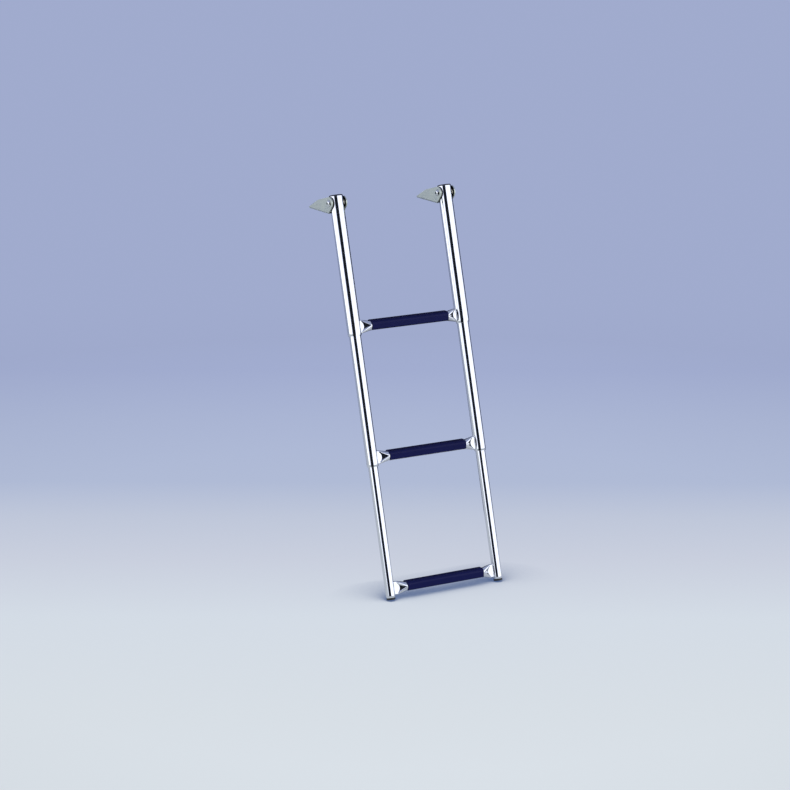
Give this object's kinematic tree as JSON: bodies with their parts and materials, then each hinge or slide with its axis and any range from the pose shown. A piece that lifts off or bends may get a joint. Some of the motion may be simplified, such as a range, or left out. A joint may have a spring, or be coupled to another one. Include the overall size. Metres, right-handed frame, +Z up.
{
  "type": "telescopic swim ladder",
  "caption": "Folding and telescoping boarding ladder of nested stainless tubes, with ribbed plastic treads on crushed-end step tubes and clevis brackets for a boat's swim platform.",
  "frame": {"origin": "centre of the left bracket's base face, midway between its screw holes, on the platform plane", "axes": "+X across the ladder to the right bracket, +Y inboard over the platform, +Z up"},
  "size_m": [0.3392, 0.3547, 0.9064],
  "materials": {
    "polished_tube": "mirror-polished stainless steel tube",
    "step_tube_steel": "polished stainless steel tube, crushed and welded at its ends",
    "bracket_plate": "satin stainless steel plate, folded",
    "fastener_steel": "bright stainless steel",
    "tread_plastic": "navy black moulded plastic, ribbed along its top",
    "cap_plastic": "black moulded plastic",
    "bush_plastic": "white moulded acetal"
  },
  "bodies": {
    "brackets": {"left_bracket": "bracket_plate", "left_pivot_bolt": "fastener_steel", "left_lock_nut": "fastener_steel", "right_bracket": "bracket_plate", "right_pivot_bolt": "fastener_steel", "right_lock_nut": "fastener_steel"},
    "upper_frame": {"left_outer_tube": "polished_tube", "left_top_cap": "cap_plastic", "left_pivot_sleeve": "bush_plastic", "left_upper_guide_bush": "bush_plastic", "right_outer_tube": "polished_tube", "right_top_cap": "cap_plastic", "right_pivot_sleeve": "bush_plastic", "right_upper_guide_bush": "bush_plastic", "upper_step_tube": "step_tube_steel", "upper_tread": "tread_plastic"},
    "middle_frame": {"left_middle_tube": "polished_tube", "left_middle_stop_collar": "bush_plastic", "left_lower_guide_bush": "bush_plastic", "right_middle_tube": "polished_tube", "right_middle_stop_collar": "bush_plastic", "right_lower_guide_bush": "bush_plastic", "middle_step_tube": "step_tube_steel", "middle_tread": "tread_plastic"},
    "lower_frame": {"left_inner_tube": "polished_tube", "left_inner_stop_collar": "bush_plastic", "left_foot_plug": "cap_plastic", "right_inner_tube": "polished_tube", "right_inner_stop_collar": "bush_plastic", "right_foot_plug": "cap_plastic", "lower_step_tube": "step_tube_steel", "lower_tread": "tread_plastic"}
  },
  "joints": [
    {"name": "ladder_fold", "type": "hinge", "parent": "brackets", "child": "upper_frame", "pos_m": [0, -0.0536, 0.026], "axis": [-1, 0, 0], "range_deg": [0, 254.3]},
    {"name": "middle_slide", "type": "slide", "parent": "upper_frame", "child": "middle_frame", "axis": [0, 0.2706, 0.9627], "range_m": [0, 0.25]},
    {"name": "lower_slide", "type": "slide", "parent": "middle_frame", "child": "lower_frame", "axis": [0, 0.2706, 0.9627], "range_m": [0, 0.25]}
  ]
}
